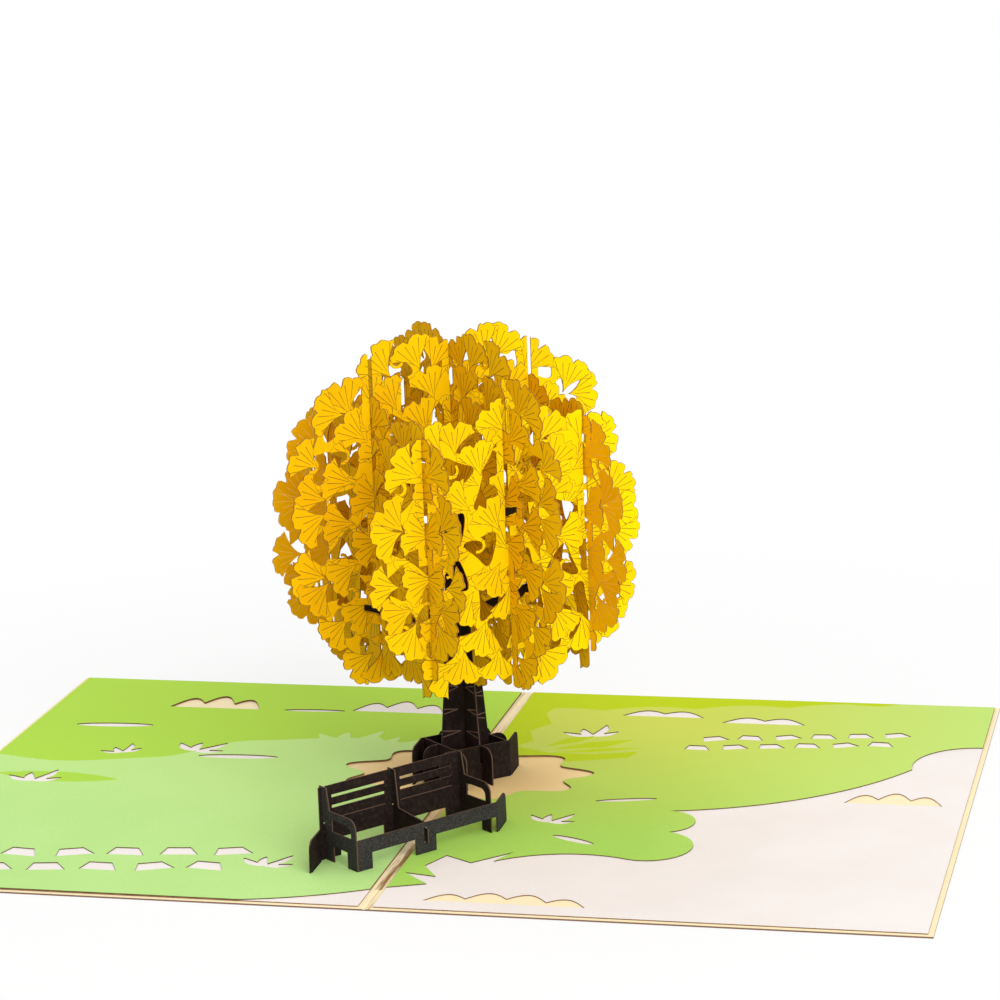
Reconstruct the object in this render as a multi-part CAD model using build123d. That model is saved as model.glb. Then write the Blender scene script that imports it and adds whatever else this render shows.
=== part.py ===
from build123d import *
import os
from math import cos, pi, radians, sin

# Open card: two leaves that lie flat, joined at a fold along Y
leaf_width = 150.0
leaf_length = 200.0
cover_thickness = 0.45
crease_width = 1.2
crease_depth = 0.15

# Paper panels glued on each leaf, pale below and green above
panel_thickness = 0.3
panel_margin = 1.5
fold_strip = 4.0

# Where the tree and the bench stand: setbacks are measured from the front edge of the leaves
tree_setback = 115.0
bench_setback = 49.0

# Standing sheets and their half-lap slots
sheet = 0.4
slot_play = 0.8
lap_gap = 0.2

# Tree lattice: two families of slices, at plus and minus this angle from X
slice_angle = 42.0
slice_spacing = 26.0
half_lap_height = 76.0
centre_lap_height = 110.0

# Crown outline to the leaf tips: middle slices and the smaller side slices
crown_squareness = 2.6
middle_centre_height = 82.0
middle_half_width = 54.0
middle_half_height = 53.5
side_centre_height = 75.5
side_half_width = 45.0
side_half_height = 42.0
slot_border = 2.2

# One fan-shaped leaf, and how the leaves and the gaps between them are laid out
fan_reach = 11.0
fan_half_angle = 46.0
fan_lobe_angle = 21.0
fan_notch = 0.84
fan_shoulder = 0.88
fan_overlap = 0.55
leaf_pitch = 11.6
leaf_ring_step = 9.4
leaf_tilt = 18.0
leaf_scatter = 1.4
leaf_size_change = 0.07
gap_setback = 10.2
gap_height = 8.0
gap_width = 9.2
gap_turn = 16.0
smallest_gap = 8.0
# Steps of the sines that make each leaf and gap a little different from the next
scatter_step = 4.3
tilt_step = 2.4
size_step = 5.1
turn_step = 3.7

# Trunk: two crossed sheets with rising branches
trunk_foot_half_width = 7.8
trunk_waist_height = 30.0
trunk_waist_half_width = 6.2
trunk_top_rise = 11.0
trunk_top_half_width = 3.0
trunk_lap_height = 40.0
trunk_play = 0.3
branch_overshoot = 5.0
branch_width = 3.2
branch_tip_width = 1.6
branch_rise = 9.0
low_branch_drop = 35.0
high_branch_rise = 1.0

# Root box round the trunk's feet
root_spacing = 8.5
root_height = 11.0
root_overshoot = 5.5
root_corner_radius = 3.0
root_end_margin = 0.8

# Folded tabs that hold the root box and the bench to the leaves
tab_length = 11.0
tab_top_length = 10.4
tab_corner_radius = 2.6
tab_shoulder = 1.0
slit_play = 0.4

# Bench
bench_angle = 51.0
bench_length = 46.5
bench_depth = 15.0
bench_back_height = 20.8
back_skirt_height = 5.2
arm_height = 14.5
arm_width = 2.2
arm_radius = 3.0
seat_height = 8.8
rail_depth = 4.2
bench_leg_width = 5.0
end_leg_width = 4.2
middle_leg_width = 7.0
bench_overshoot = 1.6
slat_slot_length = 18.0
slat_slot_width = 0.9
slat_slot_spacing = 3.0
top_slat_width = 1.8
post_width = 1.6
post_slope = 1.2
divider_tab_reach = 1.3
divider_tab_height = 4.0
divider_tab_base = 3.2

# Ground cut-outs
patch_side_margin = 18.0
patch_end_margin = 7.0
patch_ripple = 0.11
patch_waves = 9
patch_points = 27
lobe_width = 11.0
lobe_points = 6
lens_points = 5
blade_count = 4
blade_fan = 170.0
blade_root = 0.42
blade_change = 0.35
stone_count = 6
stone_turn = 14.0
stone_flatness = 0.55
stone_left_angle = 80.0
stone_right_angle = 62.0
stone_stagger = 2.6
# Clouds: distance from the fold, setback, width, height
left_clouds = ((-36, 172, 30, 12),)
left_cream_clouds = ((-96, 170, 30, 13),)
right_clouds = ((48, 177, 26, 7), (80, 173, 26, 7))
right_cream_clouds = ((36, 8, 44, 8), (128, 102, 28, 10))
# Lenses: distance from the fold, setback, length, width, turn
left_lenses = ((-122, 149, 25, 4, 4), (-63, 171, 20, 2.5, 3), (-73, 122, 25, 4, 3))
right_lenses = ((52, 96, 18, 2.5, 14), (44, 60, 14, 3, -25))
# Tufts: distance from the fold, setback, reach, lean
left_tufts = ((-110, 122, 9, 20), (-88, 126, 12, -20), (-36, 28, 11, -10), (-128, 92, 12, 0))
right_tufts = ((34, 74, 10, -15), (30, 155, 12, 10))
# Stepping stones: distance from the fold, setback, pitch, size, turn
left_stones = (-124, 22, 15, 11, 8)
right_stones = (66, 152, 11, 8, 10)
# Edges of the green panels: distance from the fold, setback
field_arcs = (
    ((leaf_width, 157), (134, 150), (130, 134)),
    ((130, 134), (108, 108), (66, 88)),
    ((66, 88), (75, 80), (69, 70)),
    ((69, 70), (78, 58), (60, 47)),
    ((60, 47), (42, 48), (26, 40)),
)
grass_edge = ((30, 48), (20, 38), (12, 43), (8, 34), (13, 26), (4, 28), (12, 20), (2, 16))
strip_curve = ((-45, 0), (-22, 5), (-2, 14))

front = -leaf_length / 2
ground = cover_thickness + 2 * panel_thickness
crossing = radians(2 * slice_angle)
slot_width = sheet * (1 + abs(cos(crossing))) / sin(crossing) + slot_play
bench_slot_width = sheet + slot_play
low_branch_height = middle_centre_height - low_branch_drop
high_branch_height = half_lap_height + high_branch_rise
trunk_height = high_branch_height + trunk_top_rise
root_top = cover_thickness + root_height
root_lap_height = cover_thickness + root_height / 2


def direction(angle):
    """Unit vector in the ground plane, at an angle in degrees from X."""
    return Vector(cos(radians(angle)), sin(radians(angle)), 0)


def polar(radius, angle):
    """Point of a flat outline at a radius and an angle in radians."""
    return Vector(cos(angle), sin(angle)) * radius


tree_centre = Vector(0, front + tree_setback, 0)
bench_centre = Vector(0, front + bench_setback, 0)
along_a = direction(slice_angle)
along_b = direction(180 - slice_angle)
along_rail = direction(bench_angle)
along_end = direction(bench_angle + 90)
along_fold = Vector(0, 1, 0)


def stand(face, origin, along):
    """Thicken an upright outline, drawn as distance along the sheet and height."""
    upright = Plane(origin=origin, x_dir=along, z_dir=along.cross(Vector(0, 0, 1)))
    return upright * extrude(face, amount=sheet / 2, both=True)


def outline(points):
    """Flat face bounded by straight lines through the points."""
    return make_face(Polyline(*points, close=True))


def block(left, right, low, high):
    """Flat rectangle between two distances and two heights."""
    return Pos((left + right) / 2, (low + high) / 2) * Rectangle(right - left, high - low)


def slot(place, width, low, high):
    """Upright slot centred on a distance along the sheet."""
    return block(place - width / 2, place + width / 2, low, high)


def round_corner(face, across, height, radius):
    """Round the corner of an outline nearest to a point."""
    return fillet(face.vertices().sort_by_distance((across, height))[0], radius)


def half_turn(shape, centre):
    """Turn a solid half a turn about an upright axis."""
    return Pos(centre) * Rot(0, 0, 180) * Pos(-centre) * shape


# Crown slices
def crown_radius(angle, half_width, half_height):
    """Distance from a slice's middle to its rounded-square outline."""
    across = abs(cos(angle) / half_width) ** crown_squareness
    up = abs(sin(angle) / half_height) ** crown_squareness
    return (across + up) ** (-1 / crown_squareness)


def fan_leaf(tip, heading, size):
    """Two-lobed fan leaf with its notch near the tip point and its stem end behind."""
    reach = fan_reach * size
    stem = tip - polar(reach, heading)
    spread = radians(fan_half_angle)
    lobe = radians(fan_lobe_angle)
    rim = [(-spread, fan_shoulder), (-lobe, 1), (0, fan_notch), (lobe, 1), (spread, fan_shoulder)]
    return outline([stem] + [stem + polar(reach * share, heading + turn) for turn, share in rim])


def ring_angles(radius):
    """Angles of the leaves round one ring."""
    count = round(2 * pi * radius / leaf_pitch)
    return [2 * pi * (k + 0.5) / count for k in range(count)]


def rim_leaves(half_width, half_height):
    """Outer ring of leaves, each turned and sized a little differently."""
    leaves = []
    for k, angle in enumerate(ring_angles((half_width + half_height) / 2)):
        radius = crown_radius(angle, half_width, half_height) + leaf_scatter * (sin(scatter_step * k) - 1)
        heading = angle + radians(leaf_tilt) * sin(tilt_step * k)
        size = 1 + leaf_size_change * sin(size_step * k)
        leaves.append(fan_leaf(polar(radius, angle), heading, size))
    return leaves


def crown_core(half_width, half_height):
    """Sheet that the rim leaves grow from, with one side per leaf."""
    points = []
    for angle in ring_angles((half_width + half_height) / 2):
        radius = crown_radius(angle, half_width, half_height) - fan_reach * fan_overlap
        points.append(polar(radius, angle))
    return outline(points)


def leaf_gap(base, heading):
    """Gap between two leaves, pointed towards the rim."""
    side = polar(gap_width / 2, heading + pi / 2)
    return outline([base + polar(gap_height, heading), base + side, base - side])


def leaf_gaps(half_width, half_height, borders):
    """Gaps between the leaves, ring by ring towards the middle, trimmed by the slot borders."""
    gaps = []
    inset = gap_setback
    while inset < min(half_width, half_height):
        for k, angle in enumerate(ring_angles((half_width + half_height) / 2 - inset)):
            base = polar(crown_radius(angle, half_width, half_height) - inset, angle)
            heading = angle + radians(gap_turn) * sin(turn_step * k + inset)
            gap = leaf_gap(base, heading) - borders
            if len(gap.faces()) == 1 and gap.area > smallest_gap:
                gaps.append(gap)
        inset += leaf_ring_step
    return gaps


def crown_lace(centre_height, half_width, half_height, openings):
    """Leaf outline with its gaps and its slots, drawn at its height above the table."""
    to_middle = Pos(0, -centre_height)
    borders = to_middle * offset(openings, slot_border, kind=Kind.INTERSECTION)
    lace = crown_core(half_width, half_height) + rim_leaves(half_width, half_height)
    lace -= leaf_gaps(half_width, half_height, borders)
    return Pos(0, centre_height) * lace - openings


def lap_slots(places, width, from_top, reach):
    """Half-lap slots at distances and lap heights, open at the top or the bottom edge."""
    if from_top:
        return Sketch() + [slot(place, width, lap - lap_gap, reach) for place, lap in places]
    return Sketch() + [slot(place, width, 0, lap + lap_gap) for place, lap in places]


def side_slice(from_top):
    """Slice beside the trunk, with three half-lap slots."""
    places = [(step * slice_spacing, half_lap_height) for step in (-1, 0, 1)]
    slots = lap_slots(places, slot_width, from_top, side_centre_height + 2 * side_half_height)
    return crown_lace(side_centre_height, side_half_width, side_half_height, slots)


def middle_slice(from_top, branch_height):
    """Slice through the trunk: a channel from below takes the trunk and its branches."""
    places = [(step * slice_spacing, half_lap_height) for step in (-1, 1)]
    places.append((0, centre_lap_height))
    slots = lap_slots(places, slot_width, from_top, middle_centre_height + 2 * middle_half_height)
    channel = offset(trunk_profile(branch_height), trunk_play, kind=Kind.INTERSECTION)
    return crown_lace(middle_centre_height, middle_half_width, middle_half_height, channel + slots)


# Trunk and root box
def trunk_profile(branch_height):
    """Tapering stem with two rising branches that reach past the side slices."""
    stem = [
        (trunk_foot_half_width, cover_thickness),
        (trunk_foot_half_width, root_top),
        (trunk_waist_half_width, trunk_waist_height),
        (trunk_top_half_width, trunk_height),
    ]
    profile = outline(stem + [(-across, height) for across, height in reversed(stem)])
    branch_reach = slice_spacing + branch_overshoot
    tip_height = branch_height + branch_rise
    for side in (-1, 1):
        profile += outline([
            (0, branch_height - branch_width),
            (side * branch_reach, tip_height),
            (side * branch_reach, tip_height + branch_tip_width),
            (0, branch_height + branch_width),
        ])
    return profile


def root_foot():
    """Low foot across the root box, rounded at both top corners."""
    half = root_spacing + root_overshoot
    strip = round_corner(block(-half, half, cover_thickness, root_top), half, root_top, root_corner_radius)
    return round_corner(strip, -half, root_top, root_corner_radius)


def root_slots(steps, from_top):
    """Half-lap slots of a strip or foot in the root box."""
    places = [(step * root_spacing, root_lap_height) for step in steps]
    return lap_slots(places, slot_width, from_top, 2 * root_top)


def trunk_sheet(from_top, branch_height):
    """One trunk sheet with its feet, its slot for the other sheet and the root box slots."""
    face = trunk_profile(branch_height) + root_foot()
    middle = lap_slots([(0, trunk_lap_height)], slot_width, from_top, 2 * trunk_height)
    return face - middle - root_slots((-1, 1), from_top)


def tab(height, base, tongue_base):
    """Upright tab, narrower at its rounded top, with a tongue that goes through a slit."""
    face = outline([
        (0, base),
        (tab_shoulder, base),
        (tab_shoulder, tongue_base),
        (tab_length - tab_shoulder, tongue_base),
        (tab_length - tab_shoulder, base),
        (tab_length, base),
        (tab_top_length, height),
        (0, height),
    ])
    return round_corner(face, tab_top_length, height, tab_corner_radius)


def tab_slit(foot):
    """Slit in the paper for the tongue of a tab that starts at a foot point."""
    start = foot.Y + tab_shoulder - slit_play / 2
    end = foot.Y + tab_length - tab_shoulder + slit_play / 2
    half = (sheet + slit_play) / 2
    return block(foot.X - half, foot.X + half, start, end)


root_front_origin = tree_centre - along_b * root_spacing
root_strip_end = root_spacing + root_end_margin
root_tab_foot = root_front_origin + along_a * root_strip_end


def root_strip_with_tab():
    """Front strip of the root box, folded at its right end into a tab along the fold."""
    start = -root_spacing - root_overshoot
    strip = block(start, root_strip_end, cover_thickness, root_top)
    strip = round_corner(strip, start, root_top, root_corner_radius) - root_slots((-1, 0), True)
    flap = stand(tab(root_top, cover_thickness, 0), root_tab_foot, along_fold)
    return stand(strip, root_front_origin, along_a) + flap


def root_cross_strip():
    """Right strip of the root box: it stops behind the front strip and runs past the back one."""
    start = slot_width / 2 - root_spacing
    end = root_spacing + root_overshoot
    strip = block(start, end, cover_thickness, root_top)
    strip = round_corner(strip, end, root_top, root_corner_radius) - root_slots((0, 1), False)
    return stand(strip, tree_centre + along_a * root_spacing, along_b)


# Bench
bench_arm_top = ground + arm_height
bench_top = ground + bench_back_height
bench_seat = ground + seat_height
rail_base = bench_seat - rail_depth
back_lap_height = ground + bench_back_height / 2
half_length = bench_length / 2
half_depth = bench_depth / 2
rail_origin = bench_centre - along_end * half_depth
back_origin = bench_centre + along_end * half_depth
rail_end = half_length + bench_overshoot
behind_rail = sheet / 2 + lap_gap - half_depth
bench_tab_foot = rail_origin + along_rail * rail_end


def bench_tab():
    """Tab along the fold at the free end of the rail."""
    return stand(tab(bench_seat, ground, cover_thickness), bench_tab_foot, along_fold)


def end_profile(near):
    """Bench end: legs, window under a rounded armrest, and a post behind it."""
    far = half_depth + bench_overshoot
    face = outline([
        (near, ground),
        (near, bench_arm_top),
        (half_depth - post_width - post_slope, bench_arm_top),
        (half_depth - post_width, bench_top),
        (far, bench_top),
        (far, ground),
    ])
    face = round_corner(face, near, bench_arm_top, arm_radius)
    window_top = bench_arm_top - arm_width
    window = block(near + arm_width, half_depth - post_width - arm_width, bench_seat, window_top)
    window = round_corner(window, near + arm_width, window_top, arm_radius - arm_width / 2)
    opening = block(near + end_leg_width, half_depth - end_leg_width, ground, rail_base)
    back_slot = lap_slots([(half_depth, back_lap_height)], bench_slot_width, False, bench_top)
    return face - window - opening - back_slot


def bench_rail():
    """Front rail folded at its left corner into the left end and at its right end into a tab."""
    rail = block(-half_length - sheet / 2, rail_end, rail_base, bench_seat)
    rail += block(-half_length - sheet / 2, bench_leg_width - half_length, ground, bench_seat)
    rail += block(-middle_leg_width / 2, middle_leg_width / 2, ground, bench_seat)
    rail -= slot(
        0,
        bench_slot_width,
        ground + divider_tab_base - lap_gap,
        ground + divider_tab_base + divider_tab_height + lap_gap,
    )
    left_end = stand(end_profile(-half_depth), bench_centre - along_rail * half_length, along_end)
    return stand(rail, rail_origin, along_rail) + left_end + bench_tab()


def bench_back():
    """Slatted back on three legs, folded at its left end into a tab."""
    back = block(-rail_end, rail_end, ground + back_skirt_height, bench_top)
    leg = bench_leg_width + bench_overshoot
    for left in (-rail_end, -leg / 2, rail_end - leg):
        back += block(left, left + leg, ground, bench_top)
    for bay in (-half_length / 2, half_length / 2):
        for row in (1, 2):
            height = bench_top - top_slat_width - (row - 0.5) * slat_slot_spacing
            back -= Pos(bay, height) * Rectangle(slat_slot_length, slat_slot_width)
    places = [(step * half_length, back_lap_height) for step in (-1, 0, 1)]
    back -= lap_slots(places, bench_slot_width, True, 2 * bench_top)
    return stand(back, back_origin, along_rail) + half_turn(bench_tab(), bench_centre)


def bench_divider():
    """Middle divider: a low seat bar with a tab through the rail, and a tall back post."""
    far = half_depth + bench_overshoot
    face = outline([
        (behind_rail, ground + divider_tab_base),
        (behind_rail, bench_seat),
        (half_depth - post_width - post_slope, bench_seat + post_slope),
        (half_depth - post_width, bench_top),
        (far, bench_top),
        (far, ground),
        (half_depth - end_leg_width, ground),
        (half_depth - end_leg_width, rail_base),
        (behind_rail + end_leg_width, rail_base),
    ])
    face += block(
        -half_depth - divider_tab_reach,
        behind_rail,
        ground + divider_tab_base,
        ground + divider_tab_base + divider_tab_height,
    )
    face -= lap_slots([(half_depth, back_lap_height)], bench_slot_width, False, bench_top)
    return stand(face, bench_centre, along_end)


def bench_right_end():
    """Right end: butts against the rail and is half-lapped with the back."""
    return stand(end_profile(behind_rail), bench_centre + along_rail * half_length, along_end)


# Ground sheets
def root_patch():
    """Wavy clearing round the root box, cut through both panels."""
    half_box = 2 * root_spacing + root_overshoot
    half_across = half_box * along_a.X + patch_side_margin
    half_along = half_box * along_a.Y + patch_end_margin
    points = []
    for k in range(patch_points):
        angle = 2 * pi * k / patch_points
        swell = 1 + patch_ripple * sin(patch_waves * angle)
        points.append(Vector(half_across * cos(angle), half_along * sin(angle)) * swell)
    return Pos(tree_centre) * outline(points)


def lens(x, setback, length, width, turn):
    """Pointed gap between two bowed edges."""
    points = []
    for k in range(2 * lens_points):
        angle = pi * k / lens_points
        points.append((length / 2 * cos(angle), width / 2 * sin(angle)))
    return Pos(x, front + setback) * Rot(0, 0, turn) * outline(points)


def cloud(x, setback, width, height):
    """Flat-based cut-out with a scalloped upper edge."""
    lobes = round(width / lobe_width)
    points = []
    for k in range(lobes * lobe_points + 1):
        share = k / (lobes * lobe_points)
        rise = sin(pi * share) + abs(sin(pi * lobes * share))
        points.append((width * (share - 0.5), height / 2 * rise))
    return Pos(x, front + setback) * outline(points)


def tuft(x, setback, reach, lean):
    """Fan of pointed grass blades."""
    points = []
    for k in range(2 * blade_count + 1):
        angle = pi / 2 + radians(blade_fan) * (k / (2 * blade_count) - 0.5)
        share = 1 - blade_change * sin(k) ** 2 if k % 2 else blade_root
        points.append(polar(reach * share, angle))
    return Pos(x, front + setback) * Rot(0, 0, lean) * outline(points)


def stones(x, setback, pitch, size, turn):
    """Two rows of flat four-sided stepping stones, each a little askew."""
    row = []
    for k in range(stone_count):
        for side in (-1, 1):
            askew = Rot(0, 0, stone_turn * sin(turn_step * k + side))
            stone = askew * Trapezoid(size, size * stone_flatness, stone_left_angle, stone_right_angle)
            row.append(Pos(k * pitch + side * stone_stagger, side * size * stone_flatness) * stone)
    return [Pos(x, front + setback) * Rot(0, 0, turn) * stone for stone in row]


def pale_field():
    """Front of the right leaf where the green panel stops: two bays and a grassy edge."""
    first = field_arcs[0][0]
    fold_end = (0, grass_edge[-1][1])
    edges = [ThreePointArc(*arc) for arc in field_arcs]
    edges.append(Polyline(field_arcs[-1][-1], *grass_edge, fold_end))
    edges.append(Polyline(fold_end, (0, -panel_margin), (first[0], -panel_margin), first))
    return Pos(0, front) * make_face(edges)


def front_strip():
    """Corner of the left leaf by the fold where the green panel stops."""
    start, _, end = strip_curve
    corner = Polyline(end, (0, end[1]), (0, -panel_margin), (start[0], -panel_margin), start)
    return Pos(0, front) * make_face([ThreePointArc(*strip_curve), corner])


def leaf_panel(side):
    """Plain panel of one leaf, side is -1 for the left leaf and 1 for the right."""
    inner = side * fold_strip / 2
    outer = side * (leaf_width - panel_margin)
    end = leaf_length / 2 - panel_margin
    return block(min(inner, outer), max(inner, outer), -end, end) - root_patch()


def clouds(places):
    """Clouds at their places."""
    return [cloud(*place) for place in places]


def bench_slits():
    """Slits for the two tabs of the bench."""
    left_foot = bench_centre * 2 - bench_tab_foot - along_fold * tab_length
    return [tab_slit(bench_tab_foot), tab_slit(left_foot)]


def root_slits():
    """Slits for the two tabs of the root box."""
    left_foot = tree_centre * 2 - root_tab_foot - along_fold * tab_length
    return [tab_slit(root_tab_foot), tab_slit(left_foot)]


def cover():
    """One folded sheet, creased along the fold on its upper side."""
    blank = extrude(Rectangle(2 * leaf_width, leaf_length) - root_slits(), amount=cover_thickness)
    groove = outline([
        (-crease_width / 2, cover_thickness),
        (0, cover_thickness - crease_depth),
        (crease_width / 2, cover_thickness),
    ])
    return blank - Plane.XZ * extrude(groove, amount=leaf_length, both=True)


def pale_panel(side, cream_clouds):
    """Off-white panel: its cut-outs show the cover."""
    face = leaf_panel(side) - clouds(cream_clouds) - bench_slits()
    return Pos(0, 0, cover_thickness) * extrude(face, amount=panel_thickness)


def green_panel(side, openings):
    """Printed green panel: its cut-outs show the pale panel."""
    face = leaf_panel(side) - openings - bench_slits()
    return Pos(0, 0, cover_thickness + panel_thickness) * extrude(face, amount=panel_thickness)


def left_openings():
    """Cut-outs in the left green panel."""
    openings = [front_strip()] + clouds(left_clouds) + clouds(left_cream_clouds)
    openings += [lens(*place) for place in left_lenses]
    openings += [tuft(*place) for place in left_tufts]
    return openings + stones(*left_stones)


def right_openings():
    """Cut-outs in the right green panel."""
    openings = [pale_field()] + clouds(right_clouds)
    openings += [lens(*place) for place in right_lenses]
    openings += [tuft(*place) for place in right_tufts]
    return openings + stones(*right_stones)


def crown_slices():
    """Three slices each way, half-lapped: one family slotted from above, the other from below."""
    slices = {}
    for step, name in ((-1, "front"), (0, "middle"), (1, "back")):
        face = side_slice(True) if step else middle_slice(True, low_branch_height)
        origin = tree_centre + along_b * slice_spacing * step
        slices["crown_slice_a_" + name] = stand(face, origin, along_a)
    for step, name in ((-1, "left"), (0, "middle"), (1, "right")):
        face = side_slice(False) if step else middle_slice(False, high_branch_height)
        origin = tree_centre + along_a * slice_spacing * step
        slices["crown_slice_b_" + name] = stand(face, origin, along_b)
    return slices


def tree_base():
    """Trunk sheets and root box strips."""
    front_strip_a = root_strip_with_tab()
    right_strip_b = root_cross_strip()
    return {
        "trunk_sheet_a": stand(trunk_sheet(True, low_branch_height), tree_centre, along_a),
        "trunk_sheet_b": stand(trunk_sheet(False, high_branch_height), tree_centre, along_b),
        "root_strip_front": front_strip_a,
        "root_strip_back": half_turn(front_strip_a, tree_centre),
        "root_strip_left": half_turn(right_strip_b, tree_centre),
        "root_strip_right": right_strip_b,
    }


def bench():
    """Four sheets of the bench."""
    return {
        "bench_rail": bench_rail(),
        "bench_back": bench_back(),
        "bench_divider": bench_divider(),
        "bench_right_end": bench_right_end(),
    }


def ground_sheets():
    """Cover and the panels on its leaves."""
    return {
        "cover": cover(),
        "left_pale_panel": pale_panel(-1, left_cream_clouds),
        "right_pale_panel": pale_panel(1, right_cream_clouds),
        "left_green_panel": green_panel(-1, left_openings()),
        "right_green_panel": green_panel(1, right_openings()),
    }


pieces = {**ground_sheets(), **crown_slices(), **tree_base(), **bench()}
os.makedirs("parts", exist_ok=True)
for name, piece in pieces.items():
    export_step(piece, f"parts/{name}.step")
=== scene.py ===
from math import cos, pi, radians, sin, tan, tanh

import bpy
import numpy as np
from mathutils import Matrix, Vector
from mathutils.geometry import delaunay_2d_cdt


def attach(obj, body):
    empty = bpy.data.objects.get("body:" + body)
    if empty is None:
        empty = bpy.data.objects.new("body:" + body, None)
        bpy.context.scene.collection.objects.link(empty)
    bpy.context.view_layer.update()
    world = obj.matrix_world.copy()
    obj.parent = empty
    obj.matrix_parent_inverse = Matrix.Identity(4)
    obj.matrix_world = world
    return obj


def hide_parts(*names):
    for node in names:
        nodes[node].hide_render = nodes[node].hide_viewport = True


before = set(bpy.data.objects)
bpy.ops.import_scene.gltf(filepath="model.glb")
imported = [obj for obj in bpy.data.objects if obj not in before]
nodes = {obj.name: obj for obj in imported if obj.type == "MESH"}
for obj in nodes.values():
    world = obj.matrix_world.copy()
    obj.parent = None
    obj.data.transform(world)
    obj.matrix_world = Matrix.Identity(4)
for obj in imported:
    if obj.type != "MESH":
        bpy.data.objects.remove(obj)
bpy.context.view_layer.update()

MM = 0.001
merge_distance = 0.001
hull_output = 0

# Layout of the card, in millimetres
leaf_width = 150.0
leaf_length = 200.0
cover_thickness = 0.45
panel_thickness = 0.3
panel_margin = 1.5
fold_strip = 4.0
front = -leaf_length / 2
tree_y = front + 115.0
bench_y = front + 49.0
sheet = 0.4
slot_play = 0.8
lap_gap = 0.2
slice_angle = 42.0
slice_spacing = 26.0
half_lap_height = 76.0
centre_lap_height = 110.0
crown_squareness = 2.6
middle_crown = (82.0, 54.0, 53.5)
side_crown = (75.5, 45.0, 42.0)
slot_border = 2.2
fan_reach = 11.0
fan_half_angle = 46.0
fan_notch = 0.20
fan_notch_width = 0.17
fan_shoulder = 0.90
fan_overlap = 0.55
leaf_pitch = 11.6
leaf_ring_step = 9.4
leaf_tilt = 27.0
leaf_scatter = 1.4
leaf_size_change = 0.07
gap_setback = 10.2
gap_height = 8.0
gap_width = 9.2
gap_turn = 16.0
scatter_step = 4.3
tilt_step = 2.4
size_step = 5.1
turn_step = 3.7
trunk_foot_half_width = 7.8
trunk_waist_height = 30.0
trunk_waist_half_width = 6.2
trunk_height = 88.0
trunk_top_half_width = 3.0
trunk_lap_height = 40.0
trunk_play = 0.3
branch_reach = 31.0
branch_width = 3.2
branch_tip_width = 1.6
branch_rise = 9.0
low_branch_height = 47.0
high_branch_height = 77.0
root_spacing = 8.5
root_height = 11.0
root_overshoot = 5.5
root_corner_radius = 3.0
tab_length = 11.0
tab_shoulder = 1.0
slit_play = 0.4
bench_angle = 51.0
bench_length = 46.5
bench_depth = 15.0
bench_back_height = 20.8
bench_overshoot = 1.6
slat_slot_length = 18.0

crossing = radians(2 * slice_angle)
slot_width = sheet * (1 + abs(cos(crossing))) / sin(crossing) + slot_play
root_top = cover_thickness + root_height
root_lap_height = cover_thickness + root_height / 2
along_a = Vector((cos(radians(slice_angle)), sin(radians(slice_angle)), 0))
along_b = Vector((-along_a.x, along_a.y, 0))
tree_centre = Vector((0, tree_y, 0))
RIGHT = Vector((1, 0, 0))
AWAY = Vector((0, 1, 0))
UP = Vector((0, 0, 1))


# Flat outlines
def polar(radius, angle):
    return Vector((radius * cos(angle), radius * sin(angle)))


def rectangle(left, right, low, high):
    return [(left, low), (right, low), (right, high), (left, high)]


def moved(loop, dx=0.0, dy=0.0, turn=0.0):
    """Outline turned by an angle in degrees and then shifted."""
    c, s = cos(radians(turn)), sin(radians(turn))
    return [(c * x - s * y + dx, s * x + c * y + dy) for x, y in loop]


def arc_points(start, middle, end, count):
    """Points along the arc through three points, the end left out."""
    (ax, ay), (bx, by), (cx, cy) = start, middle, end
    d = 2 * (ax * (by - cy) + bx * (cy - ay) + cx * (ay - by))
    a2, b2, c2 = ax * ax + ay * ay, bx * bx + by * by, cx * cx + cy * cy
    ox = (a2 * (by - cy) + b2 * (cy - ay) + c2 * (ay - by)) / d
    oy = (a2 * (cx - bx) + b2 * (ax - cx) + c2 * (bx - ax)) / d
    first = np.arctan2(ay - oy, ax - ox)
    through = (np.arctan2(by - oy, bx - ox) - first) % (2 * pi)
    sweep = (np.arctan2(cy - oy, cx - ox) - first) % (2 * pi)
    if through > sweep:
        sweep -= 2 * pi
    radius = np.hypot(ax - ox, ay - oy)
    return [
        (ox + radius * cos(first + sweep * k / count), oy + radius * sin(first + sweep * k / count))
        for k in range(count)
    ]


def inside(points, loop):
    """Which of the points lie inside one outline."""
    ring = np.array([tuple(p)[:2] for p in loop])
    low, high = ring.min(axis=0), ring.max(axis=0)
    result = np.zeros(len(points), bool)
    near = np.nonzero(((points >= low) & (points <= high)).all(axis=1))[0]
    if not len(near):
        return result
    x, y = points[near, 0][:, None], points[near, 1][:, None]
    x0, y0 = ring[:, 0][None], ring[:, 1][None]
    x1, y1 = np.roll(ring, -1, axis=0)[:, 0][None], np.roll(ring, -1, axis=0)[:, 1][None]
    crosses = (y0 > y) != (y1 > y)
    rise = np.where(y1 == y0, 1.0, y1 - y0)
    result[near] = (crosses & (x < x0 + (y - y0) * (x1 - x0) / rise)).sum(axis=1) % 2 == 1
    return result


def covered(points, loops):
    """Which of the points lie inside any of the outlines."""
    result = np.zeros(len(points), bool)
    for loop in loops:
        result |= inside(points, loop)
    return result


def largest_part(triangles, count):
    """Which triangles belong to the largest part that hangs together."""
    label = np.arange(count)
    while True:
        lowest = label[triangles].min(axis=1)
        new = label.copy()
        for corner in range(3):
            np.minimum.at(new, triangles[:, corner], lowest)
        new = new[new]
        if (new == label).all():
            break
        label = new
    parts = label[triangles[:, 0]]
    return parts == np.bincount(parts).argmax()


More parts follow.
